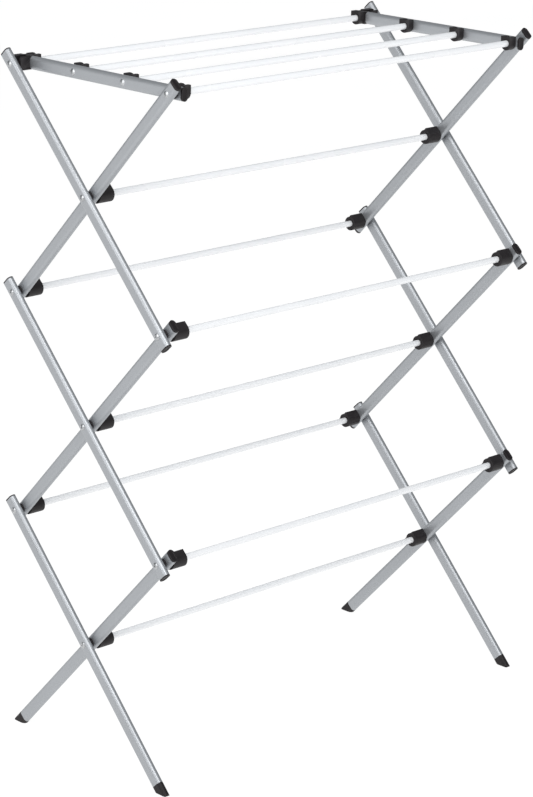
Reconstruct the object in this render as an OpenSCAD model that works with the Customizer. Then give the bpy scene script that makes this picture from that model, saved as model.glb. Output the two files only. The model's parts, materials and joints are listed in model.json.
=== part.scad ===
// Accordion clothes drying rack.
// Three scissor tiers of flat-oval tubes stand at each end, joined by round
// rods, and a top shelf of four rods hooks over the back of the upper tier.
// X runs along the rods, -Y is the front and Z is up. The origin is on the
// floor, under the middle of the rack. Sizes are in millimetres.

/* [Overall] */
// Width over the outer faces of the two ends
overall_width = 767; // [600:1:1000]
// Distance between the front joints and the back joints
joint_depth = 325; // [310:1:340]
// Height of one scissor tier, from joint to joint
tier_height = 342; // [330:1:355]
// Height of the lowest crossing above the floor
crossing_height = 184; // [182:1:192]

/* [Bars] */
// Width of the flat-oval tube
bar_width = 20; // [18:0.5:24]
// Thickness of the flat-oval tube
bar_thickness = 11; // [9:0.5:13]
// Wall of the flat-oval tube
bar_wall = 1; // [0.8:0.1:1.5]
// Length of a bar beyond its end joint, plug included
bar_end = 22; // [16:0.5:26]
// Length of a leg from its crossing to the foot cap
leg_length = 238; // [228:1:240]
// Gap between two layers of bars, which a washer fills
layer_gap = 3.4; // [2.6:0.1:5]

/* [Rods] */
// Outside diameter of the rods
rod_diameter = 10; // [8:0.5:12]
// Wall of the rods
rod_wall = 0.8; // [0.6:0.1:1.5]

/* [Rod sockets] */
// Width of a socket along the bar
socket_width = 23; // [20:0.5:25]
// Height of the socket's flat side above its axis
socket_rise = 9.4; // [6.4:0.2:11]
// Length of a socket from the bar to its mouth
socket_length = 26.5; // [22:0.5:34]

/* [Top shelf] */
// Width of a rod holder
holder_width = 21; // [16:0.5:22]
// Height of a rod holder's shoulders above the rod's axis
holder_rise = 11; // [9:0.5:14]
// Length of a rod holder from the rail to its mouth
holder_length = 11.5; // [10:0.5:20]
// Length of the rail beyond its front pivot
rail_front = 17; // [12:0.5:24]
// Length of a hook block in front of its pin
hook_front = 12; // [11.5:0.5:14]
// Length of a hook block behind its pin
hook_back = 11; // [9:0.5:14]
// Height of a hook block above the rail's centre line
hook_rise = 11.5; // [10.5:0.5:14]

/* [Pins] */
// Diameter of the pivot pins
pin_diameter = 5; // [4:0.5:6]
// Diameter of a pin's head
head_diameter = 10; // [8:0.5:12]
// Height of a pin's domed head
head_height = 1.8; // [1.2:0.1:3]
// Radial clearance where a bar or the shelf turns on a pin
running_gap = 0.05; // [0.02:0.01:0.1]
// Diameter of the pin that a hook block holds
hook_pin_diameter = 6; // [5.5:0.5:6.5]

/* [Hidden] */

$fn = 64;
EPS = 0.01;

// Ends and tiers
LEFT = 0;
RIGHT = 1;
ENDS = [LEFT, RIGHT];
BOTTOM = 0;
MIDDLE = 1;
TOP = 2;

// Which way a bar leans, and which way along it a feature lies
TO_BACK = -1;
TO_FRONT = 1;
LOWER = -1;
UPPER = 1;

// Colours
SILVER = [0.70, 0.71, 0.72];
WHITE = [0.95, 0.95, 0.94];
BLACK = [0.13, 0.12, 0.13];
BRIGHT = [0.86, 0.86, 0.87];

// Bars
bar_angle = atan2(tier_height, joint_depth);
joint_reach = norm([joint_depth, tier_height]) / 2;
bore_width = bar_width - 2 * bar_wall;
bore_thickness = bar_thickness - 2 * bar_wall;

// Layers, each measured inwards from the end's outer face
outer_layer = 0;
inner_layer = bar_thickness + layer_gap;
rail_layer = 2 * inner_layer;
socket_base = inner_layer + bar_thickness;
holder_base = rail_layer + bar_thickness;

// End plugs and feet
plug_flange = 2;
cap_flange = 3.5;
plug_depth = 9;
plug_slack = 0.05;
plug_rim = 2.2;
recess_depth = 0.8;
foot_depth = 16;
toe_trim = 3;

// Rods, sockets and holders
rod_radius = rod_diameter / 2;
rod_bore = rod_radius - rod_wall;
socket_floor = 6;
holder_floor = 3;
mouth_chamfer = 1.2;
socket_rod_start = socket_base + socket_floor;
holder_rod_start = holder_base + holder_floor;
shelf_rods = 4;
shelf_pitch = joint_depth / (shelf_rods - 1);
saddle_radius = 9;
saddle_depth = 1.4;

// Pins and washers
pin_radius = pin_diameter / 2;
pin_bore = pin_radius + running_gap;
head_gap = 0.15;
dimple_radius = 1.7;
dimple_depth = 1.1;
pin_plug = 8;
washer_radius = 8;
washer_gap = 0.2;
tail_radius = 3.7;
tail_height = 1.1;
tail_floor = 1;
tail_slack = 0.5;

// Hooks
hook_pin_radius = hook_pin_diameter / 2;
hook_slack = 0.4;
hook_side_gap = 0.6;
hook_flare = 2;
hook_corner = 2;
hook_tongue = 14;
slot_length = 24;
// The slot follows the hook pin's path past the block as the rack starts to fold
slot_slope = atan2(2 * joint_depth, tier_height);

// How far a cut runs past the shape it cuts
overrun = 1;

// Heights
shelf_height = crossing_level(TOP) + tier_height / 2;
floor_block = 100;

// The outer bars end in thin plugs, the inner bars and the rails in thicker caps
function flange(lean) = lean == TO_BACK ? plug_flange : cap_flange;
function crossing_level(tier) = crossing_height + tier * tier_height;
function joint_level(tier) = crossing_level(tier) + tier_height / 2;
function shelf_rod_place(number) = joint_depth / 2 - (number - 1) * shelf_pitch;

// ---- Places ----

// Puts a shape drawn inwards from an end's outer face at one end of the rack
module at_end(end) {
    mirror([end, 0, 0]) translate([-overall_width / 2, 0, 0]) children();
}

// Puts a shape drawn along Z at a tier's crossing, leaning to the back or the front
module on_bar(lean, tier) {
    translate([0, 0, crossing_level(tier)]) rotate([lean * (90 - bar_angle), 0, 0]) children();
}

// Turns a shape drawn in XY and extruded along Z so that it runs along X
module along_x() {
    rotate([90, 0, 90]) children();
}

// Turns a shape drawn in XY and extruded along Z so that it runs towards the front
module towards_front() {
    rotate([90, 0, 0]) children();
}

// ---- Shapes ----

module flat_oval(width, thickness) {
    square([thickness, width - thickness], center = true);
    for (side = [-1, 1]) translate([0, side * (width - thickness) / 2]) circle(d = thickness);
}

module round_x(radius, start, finish) {
    translate([start, 0, 0]) along_x() cylinder(r = radius, h = finish - start);
}

// Flat-oval tube along Z, one layer deep in X
module oval_tube(layer, low, high) {
    translate([layer + bar_thickness / 2, 0, low]) linear_extrude(height = high - low)
        difference() {
            flat_oval(bar_width, bar_thickness);
            flat_oval(bore_width, bore_thickness);
        }
}

// Flat-oval bar with a cross hole at each of its joints
module bar(layer, low, high, joints, radius) {
    difference() {
        oval_tube(layer, low, high);
        for (place = joints) translate([0, 0, place])
            round_x(radius, layer - overrun, layer + bar_thickness + overrun);
    }
}

// Plug for an oval tube, drawn with its flange outwards along +Z from the tube's end
module oval_plug(layer, flange) {
    translate([layer + bar_thickness / 2, 0, 0]) difference() {
        union() {
            linear_extrude(height = flange) flat_oval(bar_width, bar_thickness);
            translate([0, 0, -plug_depth]) linear_extrude(height = plug_depth + EPS)
                flat_oval(bore_width - 2 * plug_slack, bore_thickness - 2 * plug_slack);
        }
        translate([0, 0, flange - recess_depth]) linear_extrude(height = recess_depth + overrun)
            flat_oval(bar_width - 2 * plug_rim, bar_thickness - 2 * plug_rim);
    }
}

// Plug at the upper or lower end of a bar
module bar_plug(layer, side, flange) {
    translate([0, 0, side * (joint_reach + bar_end - flange)])
        mirror([0, 0, side == UPPER ? 0 : 1]) oval_plug(layer, flange);
}

module washer(start) {
    difference() {
        round_x(washer_radius, start, start + layer_gap - washer_gap);
        round_x(pin_bore, start - overrun, start + layer_gap + overrun);
    }
}

// Domed pin head with a dimple, its flat side at start and its dome outwards
module pin_head(start) {
    dome = (pow(head_diameter / 2, 2) + pow(head_height, 2)) / (2 * head_height);
    difference() {
        intersection() {
            translate([start + dome - head_height, 0, 0]) sphere(r = dome);
            round_x(head_diameter / 2, start - head_height - overrun, start);
        }
        round_x(dimple_radius, start - head_height - overrun, start - head_height + dimple_depth);
    }
}

// Pin with its head at start, its shank up to the rod's end and its plug in the rod's bore
module rod_pin(start, rod_start) {
    pin_head(start - head_gap);
    round_x(pin_radius, start - head_gap - EPS, rod_start + EPS);
    round_x(rod_bore, rod_start, rod_start + pin_plug);
}

// Rod between the two ends, drawn at its place in Y and Z
module rod(y, z, start) {
    color(WHITE) translate([0, y, z]) difference() {
        round_x(rod_radius, start - overall_width / 2, overall_width / 2 - start);
        round_x(rod_bore, start - overall_width / 2 - overrun, overall_width / 2 - start + overrun);
    }
}

// Cut that chamfers the mouth of a rod's hole
module mouth_cut(mouth_end) {
    depth = mouth_chamfer + overrun;
    translate([mouth_end - mouth_chamfer, 0, 0]) along_x()
        cylinder(r1 = rod_radius, r2 = rod_radius + depth, h = depth);
}

// Outline of a socket: round at the front, square up to its flat side at the back
module socket_outline() {
    circle(d = socket_width);
    translate([0, -socket_width / 2]) square([socket_rise, socket_width]);
}

// Socket that holds a rod's end, drawn on the bar's axis
module rod_socket(rod_gap, hole) {
    mouth_end = socket_base + socket_length;
    difference() {
        translate([socket_base, 0, 0]) along_x()
            linear_extrude(height = socket_length) socket_outline();
        round_x(hole, socket_base - overrun, socket_rod_start + overrun);
        round_x(rod_radius + rod_gap, socket_rod_start - rod_gap, mouth_end + overrun);
        mouth_cut(mouth_end);
    }
}

// ---- Bars and what is on their ends ----

module outer_bar(tier, end) {
    high = joint_reach + bar_end - flange(TO_BACK);
    low = tier == BOTTOM ? -leg_length : -high;
    joints = tier == BOTTOM ? [0, joint_reach] : [-joint_reach, 0, joint_reach];
    turning = tier == TOP ? [-joint_reach, 0] : joints;
    color(SILVER) at_end(end) on_bar(TO_BACK, tier) difference() {
        bar(outer_layer, low, high, turning, pin_bore);
        if (tier == TOP) translate([0, 0, joint_reach])
            round_x(pin_radius, outer_layer - overrun, outer_layer + bar_thickness + overrun);
    }
}

module inner_bar(tier, end) {
    high = joint_reach + bar_end - flange(TO_FRONT);
    low = tier == BOTTOM ? -leg_length : -high;
    color(SILVER) at_end(end) on_bar(TO_FRONT, tier)
        if (tier == BOTTOM) difference() {
            bar(inner_layer, low, high, [joint_reach], pin_radius);
            round_x(pin_bore, inner_layer - overrun, inner_layer + bar_thickness + overrun);
        }
        else bar(inner_layer, low, high, [-joint_reach, 0, joint_reach], pin_radius);
}

module end_plugs(lean, tier) {
    layer = lean == TO_BACK ? outer_layer : inner_layer;
    sides = tier == BOTTOM ? [UPPER] : [LOWER, UPPER];
    color(BLACK) for (end = ENDS, side = sides)
        at_end(end) on_bar(lean, tier) bar_plug(layer, side, flange(lean));
}

// Cap that carries a leg's outline down to the floor, with a blunted toe and a tongue up
// inside the tube
module foot(lean, end) {
    layer = lean == TO_BACK ? outer_layer : inner_layer;
    toe = crossing_height / tan(bar_angle) + bar_width / 2 / sin(bar_angle) - toe_trim;
    color(BLACK) at_end(end) difference() {
        on_bar(lean, BOTTOM) translate([layer + bar_thickness / 2, 0, 0]) union() {
            translate([0, 0, -leg_length - 2 * bar_width]) linear_extrude(height = 2 * bar_width)
                flat_oval(bar_width, bar_thickness);
            translate([0, 0, -leg_length - EPS]) linear_extrude(height = foot_depth)
                flat_oval(bore_width - 2 * plug_slack, bore_thickness - 2 * plug_slack);
        }
        translate([-floor_block / 2, -joint_depth, -floor_block])
            cube([floor_block, 2 * joint_depth, floor_block]);
        mirror([0, lean == TO_BACK ? 1 : 0, 0]) translate([-floor_block / 2, toe, -floor_block / 2])
            cube(floor_block);
    }
}

// ---- Sockets, rods, pins and washers of the scissor tiers ----

// The sockets at one joint of an inner bar, one at each end of the rack
module sockets(tier, place) {
    turns = tier == BOTTOM && place == 0;
    color(BLACK) for (end = ENDS) at_end(end) on_bar(TO_FRONT, tier)
        translate([0, 0, place * joint_reach])
            rod_socket(turns ? running_gap : 0, turns ? pin_bore : pin_radius);
}

module crossing_rod(tier) {
    rod(0, crossing_level(tier), socket_rod_start);
}

module front_rod(tier) {
    rod(-joint_depth / 2, joint_level(tier), socket_rod_start);
}

module back_rod(tier) {
    rod(joint_depth / 2, joint_level(tier), socket_rod_start);
}

// The pins at the named places along a tier's inner bars
module pivot_pins(tier, places) {
    color(BRIGHT) for (end = ENDS, place = places) at_end(end) on_bar(TO_FRONT, tier)
        translate([0, 0, place * joint_reach]) rod_pin(outer_layer, socket_rod_start);
}

module washers(tier, places) {
    color(BLACK) for (end = ENDS) at_end(end) on_bar(TO_FRONT, tier) {
        for (place = places) translate([washer_gap, 0, place * joint_reach])
            washer(outer_layer + bar_thickness);
        if (tier == TOP) translate([0, 0, joint_reach]) washer(socket_base);
    }
}

// ---- Top shelf ----

module shelf_rail(end) {
    back = joint_depth / 2 - hook_front;
    front = joint_depth / 2 + rail_front - cap_flange;
    color(SILVER) at_end(end) translate([0, 0, shelf_height]) difference() {
        translate([0, back, 0]) towards_front() oval_tube(rail_layer, 0, back + front);
        for (number = [2, 3]) translate([0, shelf_rod_place(number), 0])
            round_x(pin_radius, rail_layer - overrun, holder_base + overrun);
        translate([0, -joint_depth / 2, 0]) round_x(pin_bore, rail_layer - overrun, holder_base + overrun);
    }
}

module shelf_rail_plugs() {
    front = joint_depth / 2 + rail_front - cap_flange;
    color(BLACK) for (end = ENDS) at_end(end)
        translate([0, -front, shelf_height]) towards_front() oval_plug(rail_layer, cap_flange);
}

module shelf_rod(number) {
    rod(shelf_rod_place(number), shelf_height, holder_rod_start);
}

// Outline of a rod holder: round below, square above with a shallow saddle
module holder_outline() {
    difference() {
        union() {
            circle(d = holder_width);
            translate([-holder_width / 2, 0]) square([holder_width, holder_rise]);
        }
        translate([0, holder_rise + saddle_radius - saddle_depth]) circle(r = saddle_radius);
    }
}

// The two holders of one shelf rod. The front pair turns on the shelf's pivot pins.
module rod_holders(number) {
    turns = number == shelf_rods;
    mouth_end = holder_base + holder_length;
    color(BLACK) for (end = ENDS) at_end(end)
        translate([0, shelf_rod_place(number), shelf_height]) difference() {
            translate([holder_base, 0, 0]) along_x()
                linear_extrude(height = holder_length) holder_outline();
            round_x(turns ? pin_bore : pin_radius, holder_base - overrun, holder_rod_start + overrun);
            if (turns)
                round_x(tail_radius + tail_slack, holder_base + tail_floor, holder_rod_start + overrun);
            round_x(rod_radius, holder_rod_start, mouth_end + overrun);
            mouth_cut(mouth_end);
        }
}

// Outline of a hook block around its pin, with rounded corners
module hook_outline(rise) {
    drop = bar_width / 2;
    translate([-hook_front, hook_corner - drop])
        square([hook_front + hook_back, rise + drop - 2 * hook_corner]);
    translate([hook_corner - hook_front, -drop])
        square([hook_front + hook_back - 2 * hook_corner, rise + drop]);
    for (y = [hook_corner - hook_front, hook_back - hook_corner])
        for (z = [hook_corner - drop, rise - hook_corner]) translate([y, z]) circle(r = hook_corner);
}

// Slot around the hook pin, open at the top towards the front
module hook_slot() {
    reach = hook_pin_radius + hook_slack;
    circle(r = reach);
    rotate(180 - slot_slope) polygon([
        [0, -reach],
        [slot_length, -reach],
        [slot_length, reach + hook_flare],
        [0, reach]
    ]);
}

// Block at the back of a rail: a tongue in the rail, a tail that carries the last
// rod holder, and a lug beside the outer bar with a slot around the bar's pin
module shelf_hook(end) {
    lug_start = outer_layer + bar_thickness + hook_side_gap;
    color(BLACK) at_end(end) translate([0, joint_depth / 2, shelf_height]) difference() {
        union() {
            translate([lug_start, 0, 0]) along_x()
                linear_extrude(height = rail_layer - lug_start) hook_outline(hook_rise);
            translate([rail_layer - EPS, 0, 0]) along_x()
                linear_extrude(height = bar_thickness + EPS) hook_outline(bar_width / 2);
            translate([rail_layer + bar_thickness / 2, EPS - hook_front, 0]) towards_front()
                linear_extrude(height = hook_tongue)
                    flat_oval(bore_width - 2 * plug_slack, bore_thickness - 2 * plug_slack);
        }
        translate([lug_start - overrun, 0, 0]) along_x()
            linear_extrude(height = rail_layer - lug_start + overrun) hook_slot();
        round_x(pin_radius, rail_layer + holder_floor, holder_base + overrun);
    }
}

// Pins that fasten the three rearmost pairs of rod holders to the rails and hooks
module shelf_pins() {
    color(BRIGHT) for (end = ENDS) at_end(end) translate([0, 0, shelf_height]) {
        for (number = [2, 3]) translate([0, shelf_rod_place(number), 0])
            rod_pin(rail_layer + head_gap, holder_rod_start);
        translate([0, shelf_rod_place(1), 0]) {
            round_x(pin_radius, rail_layer + holder_floor, holder_rod_start + EPS);
            round_x(rod_bore, holder_rod_start, holder_rod_start + pin_plug);
        }
    }
}

// Rivets through the top inner bars that the shelf turns on
module shelf_pivot_pins() {
    tail_start = holder_base + tail_floor + head_gap;
    color(BRIGHT) for (end = ENDS) at_end(end)
        translate([0, -joint_depth / 2, shelf_height]) {
            pin_head(inner_layer);
            round_x(pin_radius, inner_layer - EPS, tail_start + tail_height);
            round_x(tail_radius, tail_start, tail_start + tail_height);
        }
}

// Pins in the tops of the outer bars that the hook blocks hold
module hook_pins() {
    color(BRIGHT) for (end = ENDS) at_end(end)
        translate([0, joint_depth / 2, shelf_height]) {
            pin_head(outer_layer);
            round_x(pin_radius, outer_layer - EPS, outer_layer + bar_thickness + EPS);
            round_x(hook_pin_radius, outer_layer + bar_thickness, rail_layer - hook_slack);
        }
}

// ---- The rack ----

crossing_rod(BOTTOM);  // crossing_rod_bottom
pivot_pins(BOTTOM, [0]);  // pivot_pins_bottom
outer_bar(BOTTOM, LEFT);  // outer_bar_bottom_left
outer_bar(BOTTOM, RIGHT);  // outer_bar_bottom_right
foot(TO_BACK, LEFT);  // foot_front_left
foot(TO_BACK, RIGHT);  // foot_front_right
end_plugs(TO_BACK, BOTTOM);  // end_plugs_outer_bottom
inner_bar(BOTTOM, LEFT);  // inner_bar_bottom_left
inner_bar(BOTTOM, RIGHT);  // inner_bar_bottom_right
foot(TO_FRONT, LEFT);  // foot_back_left
foot(TO_FRONT, RIGHT);  // foot_back_right
end_plugs(TO_FRONT, BOTTOM);  // end_plugs_inner_bottom
front_rod(BOTTOM);  // front_rod_lower
sockets(BOTTOM, 0);  // crossing_sockets_bottom
sockets(BOTTOM, UPPER);  // front_sockets_lower
pivot_pins(BOTTOM, [UPPER]);  // pivot_pins_inner_bottom
washers(BOTTOM, [0, UPPER]);  // washers_bottom
outer_bar(MIDDLE, LEFT);  // outer_bar_middle_left
outer_bar(MIDDLE, RIGHT);  // outer_bar_middle_right
end_plugs(TO_BACK, MIDDLE);  // end_plugs_outer_middle
inner_bar(MIDDLE, LEFT);  // inner_bar_middle_left
inner_bar(MIDDLE, RIGHT);  // inner_bar_middle_right
end_plugs(TO_FRONT, MIDDLE);  // end_plugs_inner_middle
back_rod(BOTTOM);  // back_rod_lower
crossing_rod(MIDDLE);  // crossing_rod_middle
front_rod(MIDDLE);  // front_rod_upper
sockets(MIDDLE, LOWER);  // back_sockets_lower
sockets(MIDDLE, 0);  // crossing_sockets_middle
sockets(MIDDLE, UPPER);  // front_sockets_upper
pivot_pins(MIDDLE, [LOWER, 0, UPPER]);  // pivot_pins_middle
washers(MIDDLE, [LOWER, 0, UPPER]);  // washers_middle
outer_bar(TOP, LEFT);  // outer_bar_top_left
outer_bar(TOP, RIGHT);  // outer_bar_top_right
end_plugs(TO_BACK, TOP);  // end_plugs_outer_top
hook_pins();
inner_bar(TOP, LEFT);  // inner_bar_top_left
inner_bar(TOP, RIGHT);  // inner_bar_top_right
end_plugs(TO_FRONT, TOP);  // end_plugs_inner_top
back_rod(MIDDLE);  // back_rod_upper
crossing_rod(TOP);  // crossing_rod_top
sockets(TOP, LOWER);  // back_sockets_upper
sockets(TOP, 0);  // crossing_sockets_top
pivot_pins(TOP, [LOWER, 0]);  // pivot_pins_top
washers(TOP, [LOWER, 0]);  // washers_top
shelf_pivot_pins();
shelf_rail(LEFT);  // shelf_rail_left
shelf_rail(RIGHT);  // shelf_rail_right
shelf_rail_plugs();
shelf_rod(1);  // shelf_rod_1
shelf_rod(2);  // shelf_rod_2
shelf_rod(3);  // shelf_rod_3
shelf_rod(4);  // shelf_rod_4
rod_holders(1);  // rod_holders_1
rod_holders(2);  // rod_holders_2
rod_holders(3);  // rod_holders_3
rod_holders(4);  // rod_holders_4
shelf_hook(LEFT);  // shelf_hook_left
shelf_hook(RIGHT);  // shelf_hook_right
shelf_pins();
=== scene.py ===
"""Folding clothes drying rack on a pale studio floor.

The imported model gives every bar, rod, socket and pin its place. This script rounds the edges of
the moulded and turned parts, paints everything, and adds the floor, the lights and the camera.
"""
import json
import math

import bmesh
import bpy
from mathutils import Matrix, Vector

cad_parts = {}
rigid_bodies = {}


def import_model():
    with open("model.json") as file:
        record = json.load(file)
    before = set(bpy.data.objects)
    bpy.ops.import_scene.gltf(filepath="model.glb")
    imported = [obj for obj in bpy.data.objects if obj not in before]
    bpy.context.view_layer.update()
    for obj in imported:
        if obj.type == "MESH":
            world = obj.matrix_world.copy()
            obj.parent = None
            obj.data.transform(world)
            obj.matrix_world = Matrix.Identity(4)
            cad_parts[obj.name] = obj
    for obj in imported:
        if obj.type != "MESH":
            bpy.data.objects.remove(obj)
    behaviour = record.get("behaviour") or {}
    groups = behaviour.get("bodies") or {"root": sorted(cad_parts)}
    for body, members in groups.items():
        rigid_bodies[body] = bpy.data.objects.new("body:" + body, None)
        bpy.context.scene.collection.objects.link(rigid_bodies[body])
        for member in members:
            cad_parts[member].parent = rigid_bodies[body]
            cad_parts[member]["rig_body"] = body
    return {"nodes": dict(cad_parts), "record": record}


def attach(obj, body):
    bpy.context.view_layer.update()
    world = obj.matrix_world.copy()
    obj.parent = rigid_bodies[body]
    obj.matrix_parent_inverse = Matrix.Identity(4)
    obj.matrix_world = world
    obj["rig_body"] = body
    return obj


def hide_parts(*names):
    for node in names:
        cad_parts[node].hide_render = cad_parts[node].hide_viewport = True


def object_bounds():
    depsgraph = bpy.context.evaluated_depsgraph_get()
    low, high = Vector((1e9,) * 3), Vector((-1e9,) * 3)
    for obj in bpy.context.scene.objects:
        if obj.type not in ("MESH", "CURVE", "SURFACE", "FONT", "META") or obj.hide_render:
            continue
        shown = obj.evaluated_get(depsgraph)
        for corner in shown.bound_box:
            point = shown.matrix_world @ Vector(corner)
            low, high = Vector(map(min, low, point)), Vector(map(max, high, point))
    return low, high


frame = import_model()
cad_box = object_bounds()

MM = 0.001

# ---------------------------------------------------------------- materials


class Paint:
    """A node-based material that is built up a node at a time."""

    def __init__(self, name):
        self.material = bpy.data.materials.new(name)
        self.material.use_nodes = True
        self.nodes = self.material.node_tree.nodes
        self.links = self.material.node_tree.links
        self.shader = self.nodes["Principled BSDF"]
        self.place = self.add("ShaderNodeTexCoord").outputs["Object"]

    def add(self, kind, **settings):
        node = self.nodes.new(kind)
        for key, value in settings.items():
            setattr(node, key, value)
        return node

    def set(self, **values):
        """Uniform numbers and colours, straight on the shader's sockets."""
        for key, value in values.items():
            self.shader.inputs[key.replace("_", " ")].default_value = value

    def stretched(self, scale):
        """The object's own coordinates, stretched by scale on each axis."""
        mapping = self.add("ShaderNodeMapping")
        mapping.inputs["Scale"].default_value = scale
        self.links.new(self.place, mapping.inputs["Vector"])
        return mapping.outputs["Vector"]

    def noise(self, scale, detail=3.0, roughness=0.5, vector=None):
        node = self.add("ShaderNodeTexNoise")
        node.inputs["Scale"].default_value = scale
        node.inputs["Detail"].default_value = detail
        node.inputs["Roughness"].default_value = roughness
        self.links.new(vector or self.place, node.inputs["Vector"])
        return node.outputs["Fac"]

    def cells(self, scale):
        node = self.add("ShaderNodeTexVoronoi")
        node.inputs["Scale"].default_value = scale
        self.links.new(self.place, node.inputs["Vector"])
        return node.outputs["Distance"]

    def remap(self, value, low, high, start=0.35, end=0.65):
        """value's range from start to end, spread over low to high."""
        node = self.add("ShaderNodeMapRange")
        node.inputs["From Min"].default_value = start
        node.inputs["From Max"].default_value = end
        node.inputs["To Min"].default_value = low
        node.inputs["To Max"].default_value = high
        self.links.new(value, node.inputs["Value"])
        return node.outputs["Result"]

    def blend(self, factor, first, second):
        """first where factor is 0 and second where it is 1; each is a colour or a socket."""
        node = self.add("ShaderNodeMix", data_type="RGBA")
        self.links.new(factor, node.inputs["Factor"])
        for socket, colour in ((node.inputs[6], first), (node.inputs[7], second)):
            if isinstance(colour, bpy.types.NodeSocket):
                self.links.new(colour, socket)
            else:
                socket.default_value = (*colour, 1.0)
        return node.outputs[2]

    def edges(self, start, end):
        """0 at the pointiness start and 1 at end: outer edges are over 0.5 and hollows under."""
        pointiness = self.add("ShaderNodeNewGeometry").outputs["Pointiness"]
        return self.remap(pointiness, 0.0, 1.0, start, end)

    def bump(self, height, distance, strength=1.0, under=None):
        node = self.add("ShaderNodeBump")
        node.inputs["Distance"].default_value = distance
        node.inputs["Strength"].default_value = strength
        self.links.new(height, node.inputs["Height"])
        if under is not None:
            self.links.new(under, node.inputs["Normal"])
        return node.outputs["Normal"]

    def use(self, **sockets):
        for key, socket in sockets.items():
            self.links.new(socket, self.shader.inputs[key.replace("_", " ")])
        return self.material


def silver_coat():
    """Silver-grey powder coat: fine metallic flake under a faint orange peel."""
    paint = Paint("silver_coat")
    flake = paint.remap(paint.noise(1100.0, 3.0, 0.7), 0.0, 1.0)
    cloud = paint.remap(paint.noise(9.0, 2.0), 0.0, 1.0)
    flakes = paint.blend(flake, (0.375, 0.39, 0.41), (0.445, 0.462, 0.482))
    colour = paint.blend(paint.remap(cloud, 0.0, 0.5, 0.0, 1.0), flakes, (0.41, 0.426, 0.444))
    peel = paint.bump(paint.noise(400.0, 2.0), 0.03 * MM, 0.12)
    grain = paint.bump(paint.noise(2600.0, 1.0), 0.01 * MM, 0.12, under=peel)
    paint.set(Metallic=0.8, Coat_Weight=0.1, Coat_Roughness=0.2)
    roughness = paint.remap(cloud, 0.43, 0.49, 0.0, 1.0)
    return paint.use(Base_Color=colour, Roughness=roughness, Normal=grain)


def white_coat():
    """Glossy white coat on the rods, with a slight ripple from dipping."""
    paint = Paint("white_coat")
    cloud = paint.remap(paint.noise(14.0, 3.0), 0.0, 1.0)
    colour = paint.blend(cloud, (0.925, 0.94, 0.96), (0.95, 0.96, 0.975))
    drawn = paint.noise(60.0, 2.0, vector=paint.stretched((0.15, 1.0, 1.0)))
    ripple = paint.bump(drawn, 0.12 * MM, 0.35)
    speck = paint.bump(paint.noise(1500.0, 1.0), 0.01 * MM, 0.3, under=ripple)
    paint.set(Coat_Weight=0.6, Coat_Roughness=0.05, IOR=1.5)
    roughness = paint.remap(cloud, 0.2, 0.3, 0.0, 1.0)
    return paint.use(Base_Color=colour, Roughness=roughness, Normal=speck)


def black_plastic():
    """Black moulded plastic with a fine spark-eroded grain and slightly scuffed edges."""
    paint = Paint("black_plastic")
    cloud = paint.remap(paint.noise(70.0, 4.0), 0.0, 1.0)
    body = paint.blend(cloud, (0.0065, 0.0045, 0.0055), (0.012, 0.009, 0.0105))
    colour = paint.blend(paint.edges(0.52, 0.60), body, (0.032, 0.029, 0.031))
    grain = paint.bump(paint.cells(2200.0), 0.03 * MM, 0.5)
    soft = paint.bump(paint.noise(500.0, 2.0), 0.04 * MM, 0.4, under=grain)
    paint.set(Specular_IOR_Level=0.3)
    roughness = paint.remap(cloud, 0.44, 0.58, 0.0, 1.0)
    return paint.use(Base_Color=colour, Roughness=roughness, Normal=soft)


def rivet_steel():
    """Bright plated steel, with turning marks, a little staining and painted shade in its
    recesses.
    """
    paint = Paint("rivet_steel")
    stain = paint.remap(paint.noise(220.0, 3.0), 0.0, 1.0)
    plate = paint.blend(stain, (0.40, 0.41, 0.42), (0.56, 0.57, 0.58))
    # Painted shade: the hollows of the head (the dimple) are darkened to near black where shade
    # falls.
    colour = paint.blend(paint.edges(0.49, 0.41), plate, (0.06, 0.06, 0.065))
    turned = paint.noise(1800.0, 2.0, vector=paint.stretched((1.0, 0.2, 1.0)))
    scratches = paint.bump(turned, 0.02 * MM, 0.4)
    paint.set(Metallic=1.0)
    roughness = paint.remap(stain, 0.20, 0.32, 0.0, 1.0)
    return paint.use(Base_Color=colour, Roughness=roughness, Normal=scratches)


PAINTS = {paint.__name__: paint() for paint in (silver_coat, black_plastic, rivet_steel)}
PAINTS["white_rod"] = white_coat()

# ---------------------------------------------------------------- pieces

EDGE_ANGLE = math.radians(32)
FLAT_ANGLE = math.radians(0.5)
WELD_DISTANCE = 0.001 * MM
ROUNDING = {"black_plastic": 0.45 * MM, "rivet_steel": 0.25 * MM}


def rounded_copy(node, width):
    """A copy of a CAD node with its sharp edges rounded, which stands for the node."""
    mesh = bmesh.new()
    mesh.from_mesh(frame["nodes"][node].data)
    bmesh.ops.remove_doubles(mesh, verts=mesh.verts, dist=WELD_DISTANCE)
    bmesh.ops.dissolve_limit(mesh, angle_limit=FLAT_ANGLE, verts=mesh.verts, edges=mesh.edges)
    data = bpy.data.meshes.new(node + "_rounded")
    mesh.to_mesh(data)
    mesh.free()
    piece = bpy.data.objects.new(node + "_rounded", data)
    bpy.context.scene.collection.objects.link(piece)
    bevel = piece.modifiers.new("rounding", "BEVEL")
    bevel.width = width
    bevel.segments = 3
    bevel.limit_method = "ANGLE"
    bevel.angle_limit = EDGE_ANGLE
    bevel.use_clamp_overlap = True
    bevel.miter_outer = "MITER_ARC"
    piece.data.shade_smooth()
    smooth = piece.modifiers.new("normals", "WEIGHTED_NORMAL")
    smooth.keep_sharp = True
    return piece


for part in frame["record"]["subparts"]:
    name, slot = part["node"], part["material_slot"]
    piece = frame["nodes"][name]
    if slot in ROUNDING:
        body = piece["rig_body"]
        piece = rounded_copy(name, ROUNDING[slot])
        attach(piece, body)
        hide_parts(name)
    piece.data.materials.clear()
    piece.data.materials.append(PAINTS[slot])

# ---------------------------------------------------------------- floor and lights

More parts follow.
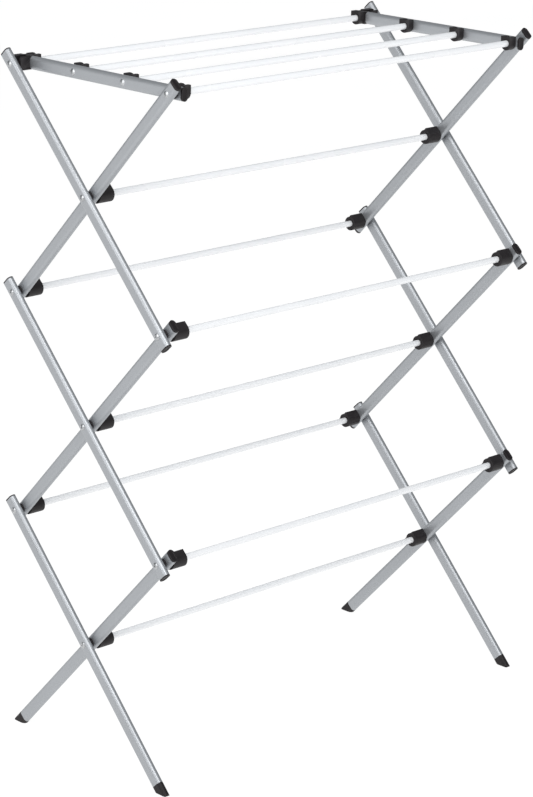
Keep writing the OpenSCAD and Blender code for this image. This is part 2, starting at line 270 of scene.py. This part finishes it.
FLOOR_HALF_WIDTH = 30.0
FLOOR_GLOW = 0.94
SURROUND_COLOUR = (0.94, 0.97, 1.0, 1.0)
SURROUND_STRENGTH = 0.36
KEY_PLACE = Vector((-1.5, -2.0, 3.3))
KEY_SIZE = 2.2
KEY_POWER = 72.0
SIDE_PLACE = Vector((-3.0, 0.1, 1.9))
SIDE_SIZE = 2.4
SIDE_POWER = 36.0


def floor_paint():
    """White studio floor, lit from within so that it stays white under the rack."""
    paint = Paint("studio_floor")
    cloud = paint.remap(paint.noise(1.5, 3.0), 0.0, 1.0)
    colour = paint.blend(cloud, (0.11, 0.11, 0.11), (0.13, 0.13, 0.13))
    paint.set(Roughness=0.9, Emission_Color=(1.0, 1.0, 1.0, 1.0), Emission_Strength=FLOOR_GLOW)
    return paint.use(Base_Color=colour, Normal=paint.bump(paint.noise(300.0), 0.05 * MM, 0.2))


def studio_floor():
    data = bpy.data.meshes.new("studio_floor")
    reach = FLOOR_HALF_WIDTH
    corners = [(-reach, -reach), (reach, -reach), (reach, reach), (-reach, reach)]
    data.from_pydata([(x, y, 0.0) for x, y in corners], [], [(0, 1, 2, 3)])
    data.materials.append(floor_paint())
    floor = bpy.data.objects.new("studio_floor", data)
    bpy.context.scene.collection.objects.link(floor)


def soft_box(name, place, aim, size, power):
    """A square area light at place, facing aim."""
    light = bpy.data.lights.new(name, "AREA")
    light.size = size
    light.energy = power
    lamp = bpy.data.objects.new(name, light)
    facing = (place - aim).to_track_quat("Z", "Y").to_matrix().to_4x4()
    lamp.matrix_world = Matrix.Translation(place) @ facing
    bpy.context.scene.collection.objects.link(lamp)


def pale_surround():
    world = bpy.data.worlds.new("pale_surround")
    world.use_nodes = True
    background = world.node_tree.nodes["Background"]
    background.inputs["Color"].default_value = SURROUND_COLOUR
    background.inputs["Strength"].default_value = SURROUND_STRENGTH
    bpy.context.scene.world = world


middle = Vector((0.0, 0.0, cad_box[1][2] / 2))
studio_floor()
pale_surround()
soft_box("key_light", KEY_PLACE, middle, KEY_SIZE, KEY_POWER)
soft_box("side_light", SIDE_PLACE, middle, SIDE_SIZE, SIDE_POWER)

# ---------------------------------------------------------------- camera

CAMERA_PLACE = Vector((-2.8312, -2.9196, 1.7102))
CAMERA_AZIMUTH = math.radians(-44.014)
CAMERA_ELEVATION = math.radians(16.633)
CAMERA_ROLL = math.radians(1.009)
CAMERA_LENS = 122.96

camera = bpy.data.objects.new("camera", bpy.data.cameras.new("camera"))
camera.data.lens = CAMERA_LENS
turn = Matrix.Rotation(CAMERA_AZIMUTH, 4, "Z")
tilt = Matrix.Rotation(math.pi / 2 - CAMERA_ELEVATION, 4, "X")
roll = Matrix.Rotation(CAMERA_ROLL, 4, "Z")
camera.matrix_world = Matrix.Translation(CAMERA_PLACE) @ turn @ tilt @ roll
bpy.context.scene.collection.objects.link(camera)
bpy.context.scene.camera = camera
bpy.context.scene.view_settings.view_transform = "Standard"

bpy.context.view_layer.update()
